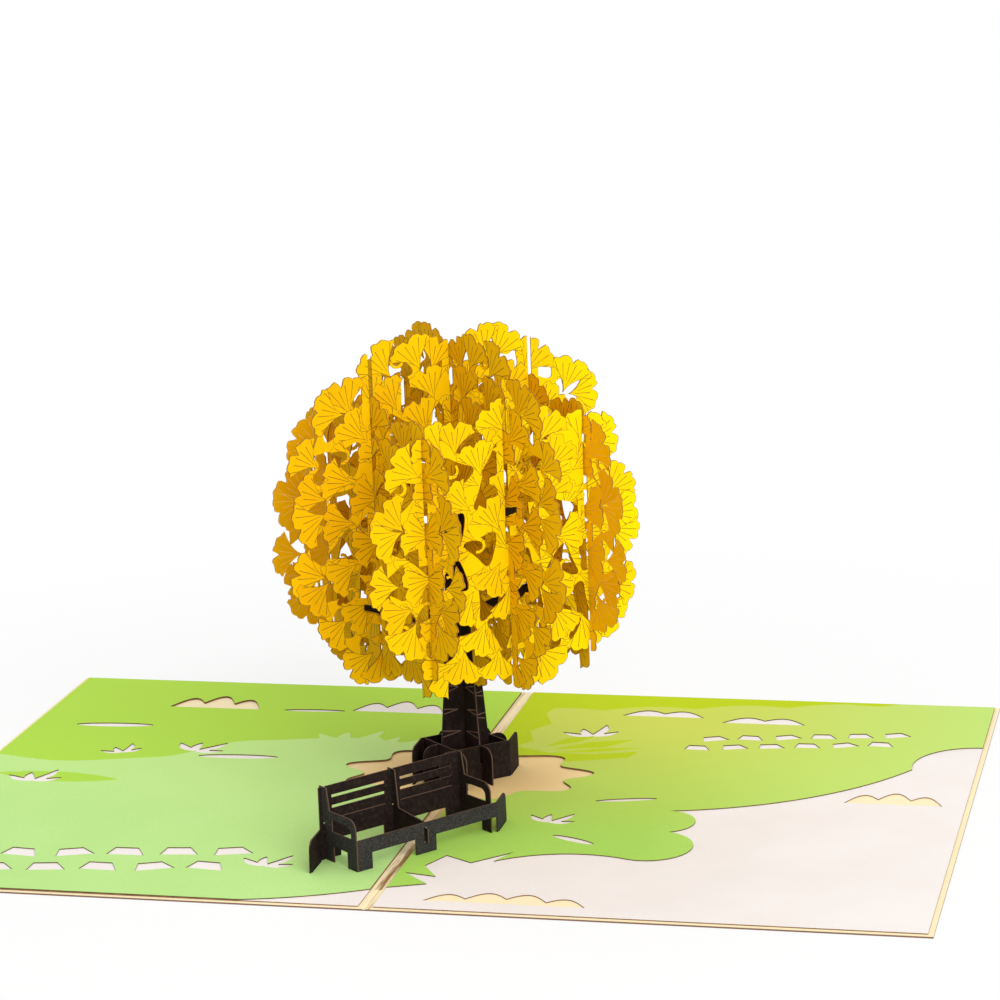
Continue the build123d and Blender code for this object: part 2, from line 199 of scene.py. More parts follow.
def cut_sheet(name, loops, paint, origin, across, up, thickness, materials):
    """Sheet cut along outlines. paint says which material each face gets, or -1 where it is cut away.
    The cut edges get the last material. Points closer than the merge distance become one."""
    coords, edges = [], []
    for loop in loops:
        start, count = len(coords), len(loop)
        coords += [Vector(tuple(p)[:2]) for p in loop]
        edges += [(start + k, start + (k + 1) % count) for k in range(count)]
    made = delaunay_2d_cdt(coords, edges, [], hull_output, merge_distance)
    flat = np.array([tuple(v) for v in made[0]])
    triangles = np.array(made[2])
    index = paint(flat[triangles].mean(axis=1))
    triangles, index = triangles[index >= 0], index[index >= 0]
    whole = largest_part(triangles, len(flat))
    triangles, index = triangles[whole], index[whole]
    used = np.unique(triangles)
    renumber = np.zeros(len(flat), int)
    renumber[used] = np.arange(len(used))
    flat, triangles = flat[used], renumber[triangles]
    sides = np.concatenate([triangles[:, [0, 1]], triangles[:, [1, 2]], triangles[:, [2, 0]]])
    keys = set(map(tuple, sides.tolist()))
    rim = [(a, b) for a, b in keys if (b, a) not in keys]
    normal = across.cross(up)
    base = np.array(origin)[None] + flat[:, :1] * np.array(across)[None] + flat[:, 1:] * np.array(up)[None]
    half = np.array(normal)[None] * thickness / 2
    points = np.concatenate([base + half, base - half]) * MM
    back = len(flat)
    faces = triangles.tolist() + (triangles[:, ::-1] + back).tolist()
    faces += [(b, a, a + back, b + back) for a, b in rim]
    mesh = bpy.data.meshes.new(name)
    mesh.from_pydata(points.tolist(), [], faces)
    for material in materials:
        mesh.materials.append(material)
    indices = np.concatenate([index, index, np.full(len(rim), len(materials) - 1)])
    mesh.polygons.foreach_set("material_index", indices.astype(np.int32))
    mesh.update()
    piece = bpy.data.objects.new(name, mesh)
    bpy.context.scene.collection.objects.link(piece)
    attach(piece, "root")
    return piece


# Materials
paper_roughness = 0.72
roughness_change = 0.08
fibre_relief = 0.55
speck_dark = 0.93
speck_light = 1.04
edge_limit = 0.5


def srgb(r, g, b):
    """Colour written as 0 to 255, for a shader socket."""
    def linear(c):
        c /= 255
        return c / 12.92 if c <= 0.04045 else ((c + 0.055) / 1.055) ** 2.4
    return (linear(r), linear(g), linear(b), 1.0)


class Paper:
    """Paper or card: mottled colour, fine fibre bump and a dull surface."""

    def __init__(self, name, colour, second, patch=60.0, fibre=2600.0, bump=0.00003, gloss=0.25):
        self.material = bpy.data.materials.new(name)
        self.material.use_nodes = True
        self.tree = self.material.node_tree
        self.shader = self.tree.nodes["Principled BSDF"]
        self.shader.inputs["Specular IOR Level"].default_value = gloss
        self.coords = self.add("ShaderNodeTexCoord").outputs["Object"]
        wide = self.noise(patch, detail=3.0, rough=0.55)
        fine = self.noise(fibre, detail=4.0, rough=0.6)
        self.colour = self.mix(self.ramp(wide, low=0.35, high=0.68), srgb(*colour), srgb(*second))
        speck = self.ramp(fine, low=0.30, high=0.72)
        darker, lighter = self.shade(self.colour, speck_dark), self.shade(self.colour, speck_light)
        self.colour = self.mix(speck, darker, lighter)
        rough = self.add("ShaderNodeMapRange")
        rough.inputs["To Min"].default_value = paper_roughness - roughness_change
        rough.inputs["To Max"].default_value = paper_roughness + roughness_change
        self.link(fine, rough.inputs["Value"])
        self.link(rough.outputs["Result"], self.shader.inputs["Roughness"])
        height = self.add("ShaderNodeBump")
        height.inputs["Strength"].default_value = fibre_relief
        height.inputs["Distance"].default_value = bump
        self.link(fine, height.inputs["Height"])
        self.link(height.outputs["Normal"], self.shader.inputs["Normal"])

    def add(self, kind):
        return self.tree.nodes.new(kind)

    def link(self, source, target):
        self.tree.links.new(source, target)

    def noise(self, scale, detail, rough, stretch=None):
        node = self.add("ShaderNodeTexNoise")
        node.inputs["Scale"].default_value = scale
        node.inputs["Detail"].default_value = detail
        node.inputs["Roughness"].default_value = rough
        place = self.coords
        if stretch:
            squeezed = self.add("ShaderNodeVectorMath")
            squeezed.operation = "MULTIPLY"
            squeezed.inputs[1].default_value = stretch
            self.link(self.coords, squeezed.inputs[0])
            place = squeezed.outputs["Vector"]
        self.link(place, node.inputs["Vector"])
        return node.outputs["Fac"]

    def ramp(self, value, low, high):
        node = self.add("ShaderNodeMapRange")
        node.inputs["From Min"].default_value = low
        node.inputs["From Max"].default_value = high
        self.link(value, node.inputs["Value"])
        return node.outputs["Result"]

    def mix(self, factor, first, second):
        node = self.add("ShaderNodeMix")
        node.data_type = "RGBA"
        self.link(factor, node.inputs["Factor"])
        colour_sockets = [s for s in node.inputs if s.type == "RGBA"]
        for value, socket in zip((first, second), colour_sockets):
            if isinstance(value, tuple):
                socket.default_value = value
            else:
                self.link(value, socket)
        return [s for s in node.outputs if s.type == "RGBA"][0]

    def shade(self, colour, amount):
        node = self.add("ShaderNodeHueSaturation")
        node.inputs["Value"].default_value = amount
        self.link(colour, node.inputs["Color"])
        return node.outputs["Color"]

    def math(self, operation, first, second=None):
        node = self.add("ShaderNodeMath")
        node.operation = operation
        for value, socket in zip((first, second), node.inputs):
            if value is None:
                continue
            if isinstance(value, (int, float)):
                socket.default_value = value
            else:
                self.link(value, socket)
        return node.outputs[0]

    def along(self, vector, source):
        node = self.add("ShaderNodeVectorMath")
        node.operation = "DOT_PRODUCT"
        self.link(source, node.inputs[0])
        node.inputs[1].default_value = vector
        return node.outputs["Value"]

    def fade(self, axis, start, end, colour):
        """Blend towards another colour between two places along an axis, in millimetres."""
        place = self.along(axis, self.coords)
        self.colour = self.mix(self.ramp(place, start * MM, end * MM), self.colour, srgb(*colour))

    def around(self, centre, inner, outer, colour):
        """Blend towards another colour near a point, in millimetres."""
        node = self.add("ShaderNodeVectorMath")
        node.operation = "DISTANCE"
        node.inputs[1].default_value = centre * MM
        self.link(self.coords, node.inputs[0])
        near = self.ramp(node.outputs["Value"], outer * MM, inner * MM)
        self.colour = self.mix(near, self.colour, srgb(*colour))

    def facing(self, direction):
        """How squarely a face looks along a direction, either way."""
        normal = self.add("ShaderNodeNewGeometry").outputs["True Normal"]
        return self.math("ABSOLUTE", self.along(direction, normal))

    def cut_edges(self, squarely, colour):
        """Another colour on faces that look out along the sheet."""
        edge = self.math("LESS_THAN", squarely, edge_limit)
        self.colour = self.mix(edge, self.colour, srgb(*colour))

    def grain(self, scale, colour, stretch=None):
        """Flecks of another colour, drawn out along an axis if wished."""
        spread = self.noise(scale, detail=2.0, rough=0.5, stretch=stretch)
        flecks = self.ramp(spread, low=0.46, high=0.68)
        self.colour = self.mix(flecks, self.colour, srgb(*colour))

    def done(self):
        self.link(self.colour, self.shader.inputs["Base Color"])
        return self.material


# Painted shade and light on the leaf sheets: gold on the left of the tree, lemon on the right, fading between
# these places in millimetres.
painted_shade_gold_place = -34.0
painted_light_lemon_place = 38.0
# Painted light showing through the vein cuts near the left and right ends of the sheets in shade: its colour,
# and the places in millimetres where it fades in.
painted_vein_light = (250, 200, 96)
painted_vein_light_places = ((-32.0, -42.0), (34.0, 46.0))
green_back_places = (-40.0, 70.0)
green_side_places = (60.0, 150.0)
rough_card = {"fibre": 3400.0, "bump": 0.00006, "gloss": 0.1}


def leaf_painted_light(name, left, right):
    """Leaf colour with painted light and shade: gold in painted shade on the left turns to lemon in painted
    light on the right, across the tree.
    """
    paper = Paper(name, left, left, patch=34.0, gloss=0.06)
    paper.fade(RIGHT, painted_shade_gold_place, painted_light_lemon_place, right)
    return paper.done()


def green_print(name, colour, second, back_colour, side_colour):
    """Green that changes towards the back of the leaf and towards its outer side."""
    paper = Paper(name, colour, second, patch=22.0, gloss=0.1)
    paper.fade(AWAY, *green_back_places, back_colour)
    if side_colour:
        paper.fade(RIGHT, *green_side_places, side_colour)
    return paper.done()


leaf_vein = Paper("leaf_card_vein", (140, 104, 4), (124, 90, 4), patch=300.0).done()
# Vein colour for the sheets whose ends lie in shade: darker than the lit vein colour, as painted shade, and
# paler towards the left and right ends, as painted light.
vein_painted_shade_and_light_paper = Paper("leaf_card_vein_painted_shade_and_light", (124, 88, 4), (110, 76, 4), patch=300.0)
for near, far in painted_vein_light_places:
    vein_painted_shade_and_light_paper.fade(RIGHT, near, far, painted_vein_light)
vein_painted_shade_and_light = vein_painted_shade_and_light_paper.done()
leaf_edge = Paper("leaf_card_edge", (190, 132, 10), (156, 102, 10), patch=300.0).done()
# The first two leaf colours are lit copies for the A sheets. The two darker copies below carry painted shade,
# for the B sheets. All four fade from gold to lemon as painted shade and light.
bright_leaf = leaf_painted_light("bright_leaf_painted_light", (246, 186, 0), (255, 220, 0))
second_leaf = leaf_painted_light("second_leaf_painted_light", (240, 178, 0), (255, 212, 0))
painted_shade_leaf = leaf_painted_light("painted_shade_leaf_painted_light", (230, 176, 0), (248, 192, 0))
painted_shade_second_leaf = leaf_painted_light("painted_shade_second_leaf_painted_light", (221, 166, 0), (242, 182, 0))
leaf_card_a = [bright_leaf, second_leaf, leaf_vein, leaf_edge]
leaf_card_back = [bright_leaf, second_leaf, vein_painted_shade_and_light, leaf_edge]
leaf_card_b = [painted_shade_leaf, painted_shade_second_leaf, vein_painted_shade_and_light, leaf_edge]
bark_paper = Paper("bark_card_face", (25, 17, 15), (34, 24, 21), patch=220.0, **rough_card)
bark_paper.grain(900.0, (44, 31, 27), (1.0, 1.0, 0.4))
bark_face = bark_paper.done()
bark_line = Paper("bark_card_line", (132, 100, 86), (112, 82, 70), patch=400.0).done()
bark_edge = Paper("bark_card_edge", (96, 72, 60), (74, 54, 44), patch=400.0).done()
left_mint = green_print("left_mint_print", (189, 230, 142), (183, 226, 133), (198, 234, 142), None)
left_lime = green_print("left_lime_print", (175, 219, 72), (170, 215, 64), (178, 219, 72), None)
right_mint = green_print("right_mint_print", (172, 218, 98), (167, 213, 90), (202, 212, 86), (194, 226, 118))
right_lime = green_print("right_lime_print", (178, 208, 20), (172, 203, 12), (188, 208, 6), None)
green_edge = Paper("green_paper_edge", (110, 88, 56), (88, 66, 42), patch=300.0).done()
pale_face = Paper("pale_paper_face", (243, 236, 232), (239, 231, 226), patch=30.0).done()
pale_edge = Paper("pale_paper_edge", (150, 112, 80), (124, 90, 62), patch=300.0).done()


# Crown slices
leaf_line = 0.13
side_shares = (0.02, 0.1, 0.2, 0.34, 0.52, 0.76)
side_bow = 0.6
rim_points = 29
rim_flatness = 4
rim_waves = 2.4
rim_phase = 0.37
rim_depth = 0.085
ripple_waves = 4.6
ripple_depth = 0.012
vein_count = 6
vein_spread = 0.82
vein_gather = 0.12
vein_start = 0.22
vein_start_step = 0.10
vein_end = 0.90
vein_end_step = 0.10
vein_end_drop = 0.08
vein_middle_share = 0.25
vein_foot_half_width = 0.06
vein_tip_half_width = 0.11
vein_index = 2
second_tone_every = 3
hook_spine = (
    (-2.2, 5.8), (-2.4, 4.3), (-2.3, 3.0), (-1.7, 1.9),
    (-0.6, 1.4), (0.6, 1.7), (1.3, 2.6), (1.5, 3.6),
)
hook_half_width = 0.58
hook_taper = 0.03
hook_every = 3
above_sheets = 220.0
below_sheets = -20.0
least_open_share = 0.4
opening_play = 0.05
stem_sink = 2.0
inner_turn = 8.0
inner_reach = 11.0
inner_half_angle = 40.0
fill_step = 9.5
fill_reach = 9.5
fill_turn = 30.0
fill_half_angle = 42.0
fill_foot_margin = 6.0
fill_margin = 4.0
least_fill_share = 0.25


def crown_radius(angle, half_width, half_height):
    across = abs(cos(angle) / half_width) ** crown_squareness
    up = abs(sin(angle) / half_height) ** crown_squareness
    return (across + up) ** (-1 / crown_squareness)


def ring_angles(radius):
    count = round(2 * pi * radius / leaf_pitch)
    return [2 * pi * (k + 0.5) / count for k in range(count)]


class Leaf:
    """Fan leaf: drawn-in sides, a notch in the middle of a wavy rim, a thin border and veins."""

    def __init__(self, stem, heading, reach, half_angle, number):
        spread = radians(half_angle)
        side = [(share, spread * (share / fan_shoulder) ** side_bow) for share in side_shares]
        rim = []
        for t in np.linspace(-1, 1, rim_points):
            share = 1 - (1 - fan_shoulder) * t ** rim_flatness
            share -= fan_notch * max(0, 1 - abs(t) / fan_notch_width)
            wave = (rim_waves * t + rim_phase * number) % 1
            ripple = ripple_depth * cos(ripple_waves * 2 * pi * t + number)
            share += rim_depth * (abs(2 * wave - 1) - 0.5) + ripple
            rim.append((min(share, 1.0), spread * t))
        places = [(share, -turn) for share, turn in side] + rim + side[::-1]
        self.outline = [stem + polar(reach * share, heading + turn) for share, turn in places]
        self.border = []
        for k, point in enumerate(self.outline):
            ahead = self.outline[(k + 1) % len(self.outline)] - self.outline[k - 1]
            self.border.append(point + Vector((-ahead.y, ahead.x)).normalized() * leaf_line)
        self.veins = []
        for k in range(vein_count):
            share = 2 * k / (vein_count - 1) - 1
            turn = heading + spread * vein_spread * share
            shorter = vein_end_step * ((k + number) % 3 == 1)
            drop = vein_end_drop * (abs(share) < vein_middle_share)
            start_reach = reach * (vein_start + vein_start_step * (k % 2))
            start = stem + polar(start_reach, turn - spread * vein_gather * share)
            end = stem + polar(reach * (vein_end - shorter - drop), turn)
            across = polar(1, turn + pi / 2)
            foot, tip = across * vein_foot_half_width, across * vein_tip_half_width
            self.veins.append([start - foot, end - tip, end + tip, start + foot])
        self.tone = int(number % second_tone_every == 1)


def in_gap(base, heading, places):
    """Places across and along a gap, as points of the slice."""
    out, side = polar(1, heading), polar(1, heading + pi / 2)
    return [base + side * across + out * rise for across, rise in places]


def softened(loop):
    """Outline with its corners cut twice, so that they look round."""
    for _ in range(2):
        pairs = zip(loop, loop[1:] + loop[:1])
        loop = [p for a, b in pairs for p in (a * 0.75 + b * 0.25, a * 0.25 + b * 0.75)]
    return loop


def leaf_gap(base, heading):
    """Gap a little larger than it shows: the leaves beside and below it lie over its edges."""
    half = gap_width / 2
    corners = [(0, gap_height + 1.6), (half * 0.62, 3.0), (half + 0.9, -0.6), (half - 0.6, -2.2),
               (0.6 - half, -2.2), (-half - 0.9, -0.6), (-half * 0.62, 3.0)]
    return softened(in_gap(base, heading, corners))


def hook(base, heading, hand):
    """Thin stem that hangs into a gap and curls up at its end."""
    path = in_gap(base, heading, [(hand * across, rise) for across, rise in hook_spine])
    left, right = [], []
    for k, point in enumerate(path):
        ahead = path[min(k + 1, len(path) - 1)] - path[max(k - 1, 0)]
        across = Vector((-ahead.y, ahead.x)).normalized() * (hook_half_width - hook_taper * k)
        left.append(point + across)
        right.append(point - across)
    return left + right[::-1]


def trunk_loops(branch_height, play):
    """Outlines of the trunk and its two branches, grown by a play."""
    stem = [
        (trunk_foot_half_width + play, cover_thickness - play),
        (trunk_foot_half_width + play, root_top),
        (trunk_waist_half_width + play, trunk_waist_height),
        (trunk_top_half_width + play, trunk_height + play),
    ]
    loops = [stem + [(-x, z) for x, z in reversed(stem)]]
    tip = branch_height + branch_rise
    for hand in (-1, 1):
        loops.append([
            (0, branch_height - branch_width - play),
            (hand * (branch_reach + play), tip - play),
            (hand * (branch_reach + play), tip + branch_tip_width + play),
            (0, branch_height + branch_width + play),
        ])
    return loops


def slot_loops(places, from_top, border):
    """Half-lap slots, grown by a border."""
    half = slot_width / 2 + border
    if from_top:
        return [rectangle(x - half, x + half, lap - lap_gap - border, above_sheets) for x, lap in places]
    return [rectangle(x - half, x + half, below_sheets, lap + lap_gap + border) for x, lap in places]


def open_gap(base, heading, borders):
    """Whether a gap keeps enough of its place clear of the slot borders."""
    places = [(gap_width * (1 - rise) * across, gap_height * rise)
              for rise in np.linspace(0.1, 0.8, 8) for across in np.linspace(-0.45, 0.45, 9)]
    points = np.array([tuple(p) for p in in_gap(base, heading, places)])
    return (~covered(points, borders)).mean() > least_open_share


def fill_leaves(crown, core, shapes):
    """Printed leaves for the places that the cut leaves of a slice don't cover."""
    centre, half_width, half_height = crown
    rows = np.arange(centre - half_height + fill_foot_margin, centre + half_height - fill_margin, fill_step)
    printed = []
    for row, z in enumerate(rows):
        shift = fill_step / 2 * (row % 2)
        for x in np.arange(-half_width + fill_margin + shift, half_width - fill_margin, fill_step):
            out = Vector((x, z - centre))
            heading = np.arctan2(out.y, out.x) + radians(fill_turn) * sin(turn_step * (row + x))
            stem = Vector((x, z)) - polar(fill_reach / 2, heading)
            leaf = Leaf(stem, heading, fill_reach, fill_half_angle, len(printed))
            spots = np.array([tuple(p) for p in leaf.outline + [vein[1] for vein in leaf.veins]])
            if (inside(spots, core) & ~covered(spots, shapes)).mean() > least_fill_share:
                printed.append(leaf)
    return printed


def crown_slice(name, origin, along, from_top, branch_height, card):
    """One leaf-lace slice, in the place of its CAD slice."""
    crown = middle_crown if branch_height else side_crown
    centre, half_width, half_height = crown
    mean = (half_width + half_height) / 2
    places = [(step * slice_spacing, half_lap_height) for step in (-1, 1)]
    places.append((0, centre_lap_height if branch_height else half_lap_height))
    openings = slot_loops(places, from_top, 0)
    borders = slot_loops(places, from_top, slot_border)
    if branch_height:
        openings += trunk_loops(branch_height, trunk_play + opening_play)
        borders += trunk_loops(branch_height, trunk_play + slot_border)
    lift = Vector((0, centre))
    leaves, core, gaps, hooks = [], [], [], []

    def add_leaf(stem, heading, reach, half_angle):
        leaves.append(Leaf(stem, heading, reach, half_angle, len(leaves)))

    for k, angle in enumerate(ring_angles(mean)):
        radius = crown_radius(angle, half_width, half_height)
        core.append(lift + polar(radius - fan_reach * fan_overlap, angle))
        tip = lift + polar(radius + leaf_scatter * (sin(scatter_step * k) - 1), angle)
        heading = angle + radians(leaf_tilt) * sin(tilt_step * k)
        reach = fan_reach * (1 + leaf_size_change * sin(size_step * k))
        add_leaf(tip - polar(reach, heading), heading, reach, fan_half_angle)
    inset = gap_setback
    while inset < min(half_width, half_height):
        angles = ring_angles(mean - inset)
        for k, angle in enumerate(angles):
            base = lift + polar(crown_radius(angle, half_width, half_height) - inset, angle)
            heading = angle + radians(gap_turn) * sin(turn_step * k + inset)
            if open_gap(base, heading, borders):
                gaps.append(leaf_gap(base, heading))
                if k % hook_every == 1:
                    hooks.append(hook(base, heading, 1 if k % 2 else -1))
            if inset > gap_setback:
                middle = angle + pi / len(angles)
                radius = crown_radius(middle, half_width, half_height) - inset - stem_sink
                heading = middle + radians(inner_turn) * sin(turn_step * k)
                add_leaf(lift + polar(radius, middle), heading, inner_reach, inner_half_angle)
        inset += leaf_ring_step

    shapes = [leaf.outline for leaf in leaves]
    drawn = fill_leaves(crown, core, shapes) + leaves

    def paint(points):
        body = inside(points, core) | covered(points, shapes)
        open_place = covered(points, gaps) & ~covered(points, borders + hooks + shapes)
        keep = body & ~open_place & ~covered(points, openings)
        index = np.zeros(len(points), int)
        for leaf in drawn:
            within = inside(points, leaf.outline)
            index[within] = leaf.tone
            index[within & (~inside(points, leaf.border) | covered(points, leaf.veins))] = vein_index
        return np.where(keep, index, -1)

    loops = [core] + gaps + hooks + openings + borders
    for leaf in drawn:
        loops += [leaf.outline, leaf.border] + leaf.veins
    piece = cut_sheet(name + "_lace", loops, paint, origin, along, UP, sheet, card)
    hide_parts(name)


for step, word in ((-1, "front"), (0, "middle"), (1, "back")):
    crown_slice("crown_slice_a_" + word, tree_centre + along_b * slice_spacing * step, along_a, True,
                0 if step else low_branch_height, leaf_card_back if step > 0 else leaf_card_a)
for step, word in ((-1, "left"), (0, "middle"), (1, "right")):
    crown_slice("crown_slice_b_" + word, tree_centre + along_a * slice_spacing * step, along_b, False,
                0 if step else high_branch_height, leaf_card_b)


# Trunk sheets with bark lines
corner_points = 7
past_sheet = 1.0
stroke_count = 9
stroke_start = 16.0
stroke_step = 6.8
stroke_stagger = 0.25
stroke_inset = 0.3
stroke_point = 1.6
stroke_point_change = 0.5
stroke_point_step = 2.1
stroke_spread = 0.9
stroke_spread_change = 0.3
stroke_spread_step = 3.7
stroke_half_width = 0.16
stroke_point_half_width = 0.09


def trunk_edge(z):
    """Half width of the trunk at a height."""
    if z < trunk_waist_height:
        share = (z - root_top) / (trunk_waist_height - root_top)
        return trunk_foot_half_width + share * (trunk_waist_half_width - trunk_foot_half_width)
    share = (z - trunk_waist_height) / (trunk_height - trunk_waist_height)
    return trunk_waist_half_width + share * (trunk_top_half_width - trunk_waist_half_width)


def bark_strokes():
    """Thin strokes that run from the edges of the trunk towards its middle, in pairs that meet."""
    strokes = []
    for k in range(stroke_count):
        for hand in (-1, 1):
            z = stroke_start + stroke_step * (k + stroke_stagger * hand)
            edge = trunk_edge(z) - stroke_inset
            point = stroke_point + stroke_point_change * sin(stroke_point_step * k + hand)
            for end in (-stroke_spread, stroke_spread):
                start = z + end * (1 + stroke_spread_change * sin(stroke_spread_step * k))
                strokes.append([
                    (hand * edge, start - stroke_half_width),
                    (hand * point, z - stroke_point_half_width),
                    (hand * point, z + stroke_point_half_width),
                    (hand * edge, start + stroke_half_width),
                ])
    return strokes


def trunk_sheet(name, along, from_top, branch_height):
    """Trunk sheet with paler bark strokes along its edges."""
    body = trunk_loops(branch_height, 0)
    half = root_spacing + root_overshoot
    low, high, r = cover_thickness, root_top, root_corner_radius
    foot = [(-half, low), (half, low)]
    foot += [(half - r + r * cos(a), high - r + r * sin(a)) for a in np.linspace(0, pi / 2, corner_points)]
    foot += [(-half + r + r * cos(a), high - r + r * sin(a)) for a in np.linspace(pi / 2, pi, corner_points)]
    cuts = slot_loops([(0, trunk_lap_height)], from_top, 0)
    slot_low, slot_high = -past_sheet, root_lap_height + lap_gap
    if from_top:
        slot_low, slot_high = root_lap_height - lap_gap, root_top + past_sheet
    cuts += [rectangle(x - slot_width / 2, x + slot_width / 2, slot_low, slot_high)
             for x in (-root_spacing, root_spacing)]
    strokes = bark_strokes()

    def paint(points):
        keep = (covered(points, body) | inside(points, foot)) & ~covered(points, cuts)
        return np.where(keep, np.where(covered(points, strokes), 1, 0), -1)

    piece = cut_sheet(name + "_bark", body + [foot] + cuts + strokes, paint, tree_centre, along, UP, sheet,
                      [bark_face, bark_line, bark_edge])
    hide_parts(name)


trunk_sheet("trunk_sheet_a", along_a, True, low_branch_height)
trunk_sheet("trunk_sheet_b", along_b, False, high_branch_height)


# Ground panels
left_clouds = ((-36, 172, 30, 12),)
left_cream_clouds = ((-96, 170, 30, 13),)
right_clouds = ((48, 177, 26, 7), (80, 173, 26, 7))
right_cream_clouds = ((36, 8, 44, 8), (128, 102, 28, 10))
left_lenses = ((-122, 149, 25, 4, 4), (-63, 171, 20, 2.5, 3), (-73, 122, 25, 4, 3))
right_lenses = ((52, 96, 18, 2.5, 14), (44, 60, 14, 3, -25))
left_tufts = ((-110, 122, 9, 20), (-88, 126, 12, -20), (-36, 28, 11, -10), (-128, 92, 12, 0))
right_tufts = ((34, 74, 10, -15), (30, 155, 12, 10))
left_bushes = ((-44, 139, 16, -12), (-30, 138, 13, -30), (-139, 100, 14, 8))
left_stones = (-124, 22, 15, 11, 8)
right_stones = (66, 152, 11, 8, 10)
field_arcs = (
    ((150, 157), (134, 150), (130, 134)),
    ((130, 134), (108, 108), (66, 88)),
    ((66, 88), (75, 80), (69, 70)),
    ((69, 70), (78, 58), (60, 47)),
    ((60, 47), (42, 48), (26, 40)),
)
grass_edge = ((30, 48), (20, 38), (12, 43), (8, 34), (13, 26), (4, 28), (12, 20), (2, 16))
strip_curve = ((-45, 0), (-22, 5), (-2, 14))
arc_steps = 18
past_front = -20.0
lobe_width = 11.0
lobe_points = 14
lens_points = 40
blade_count = 4
blade_points = 8
blade_fan = 170.0
blade_change = 0.35
blade_bend = 0.10
blade_half_width = 0.13
blade_foot = 0.12
blade_swell = 0.8
stone_count = 6
stone_turn = 14.0
stone_flatness = 0.55
stone_left_angle = 80.0
stone_right_angle = 62.0
stone_stagger = 2.6
patch_points = 180
patch_side_margin = 18.0
patch_end_margin = 7.0
patch_ripple = 0.11
patch_waves = 9
lime_back = 120.0
lime_wave_length = 9.0
left_lime_edge = 28.0
left_lime_rise = 14.0
left_lime_rise_place = -86.0
left_lime_rise_width = 9.0
left_lime_wave = 2.5
left_lime_points = 76
lime_patch_steps = 12
lime_patch_place = (-122, -3, -3)
right_lime_edge = 77.0
right_lime_slope = 0.16
right_lime_scallop = 3.2
right_lime_reach = 120.0
right_lime_points = 91
lime_band = (
    (0, 26), (0, 90), (14, 90), (11, 76), (15, 66), (10, 58), (13, 48),
    (9, 42), (20, 37), (34, 37), (47, 41), (45, 35), (31, 30), (15, 26),
)
lime_blades = (
    ((-12, 3), (-7, 12), (2, 16), (-3, 8)),
    ((-10, 0), (1, 9), (14, 13), (6, 4)),
    ((-9, -3), (5, 3), (18, 5), (4, -1)),
)
lime_blade_place = (30, 40)


def cloud(x, setback, width, height):
    lobes = round(width / lobe_width)
    count = lobes * lobe_points
    points = []
    for k in range(count + 1):
        share = k / count
        rise = sin(pi * share) + abs(sin(pi * lobes * share))
        points.append((width * (share - 0.5), height / 2 * rise))
    return moved(points, x, front + setback)


def lens(x, setback, length, width, turn):
    angles = np.linspace(0, 2 * pi, lens_points, endpoint=False)
    return moved([(length / 2 * cos(a), width / 2 * sin(a)) for a in angles], x, front + setback, turn)


def tuft(x, setback, reach, lean):
    """Curved grass blades that fan out from one foot."""
    loops = []
    for k in range(blade_count):
        angle = pi / 2 + radians(blade_fan) * ((2 * k + 1) / (2 * blade_count) - 0.5)
        length = reach * (1 - blade_change * sin(2 * k + 1) ** 2)
        bend = blade_bend * length * (1 if angle > pi / 2 else -1)
        out, side = polar(1, angle), polar(1, angle + pi / 2)
        left, right = [], []
        for j in range(blade_points + 1):
            t = j / blade_points
            spine = out * (length * t) + side * (bend * sin(pi * t))
            width_share = min(blade_foot + (1 - blade_foot) * t, 1)
            half = blade_half_width * reach * sin(pi * width_share) ** blade_swell
            left.append(spine + side * half)
            right.append(spine - side * half)
        loops.append(moved(left + right[::-1][1:], x, front + setback, lean))
    return loops


def stones(x, setback, pitch, size, turn):
    """Two rows of flat-topped stepping stones."""
    loops = []
    height = size * stone_flatness
    left = height / tan(radians(stone_left_angle))
    right = height / tan(radians(stone_right_angle))
    for k in range(stone_count):
        for hand in (-1, 1):
            stone = [(-size / 2, -height / 2), (size / 2, -height / 2),
                     (size / 2 - right, height / 2), (left - size / 2, height / 2)]
            stone = moved(stone, 0, 0, stone_turn * sin(turn_step * k + hand))
            stone = moved(stone, k * pitch + hand * stone_stagger, hand * size * stone_flatness)
            loops.append(moved(stone, x, front + setback, turn))
    return loops


def each(shape, places):
    """One outline for each place."""
    return [shape(*place) for place in places]


def all_blades(places):
    """Blades of the tufts at all the places."""
    return [blade for place in places for blade in tuft(*place)]


def root_patch():
    """Rippled clearing round the root box."""
    half_box = 2 * root_spacing + root_overshoot
    half_across = half_box * along_a.x + patch_side_margin
    half_along = half_box * along_a.y + patch_end_margin
    points = []
    for k in range(patch_points):
        angle = 2 * pi * k / patch_points
        swell = 1 + patch_ripple * sin(patch_waves * angle)
        points.append((half_across * cos(angle) * swell, half_along * sin(angle) * swell + tree_y))
    return points


def pale_field():
    """Front of the right leaf, where the pale panel shows."""
    points = []
    for arc in field_arcs:
        points += arc_points(*arc, arc_steps)
    points += [field_arcs[-1][-1]] + list(grass_edge)
    points += [(0, grass_edge[-1][1]), (0, past_front), (leaf_width, past_front)]
    return moved(points, 0, front)


def front_strip():
    """Front of the left leaf by the fold, where the pale panel shows."""
    start, _, end = strip_curve
    points = arc_points(*strip_curve, arc_steps) + [end, (0, end[1]), (0, past_front), (start[0], past_front)]
    return moved(points, 0, front)


def panel_loop(side):
    inner, outer = side * fold_strip / 2, side * (leaf_width - panel_margin)
    end = leaf_length / 2 - panel_margin
    return rectangle(min(inner, outer), max(inner, outer), -end, end)


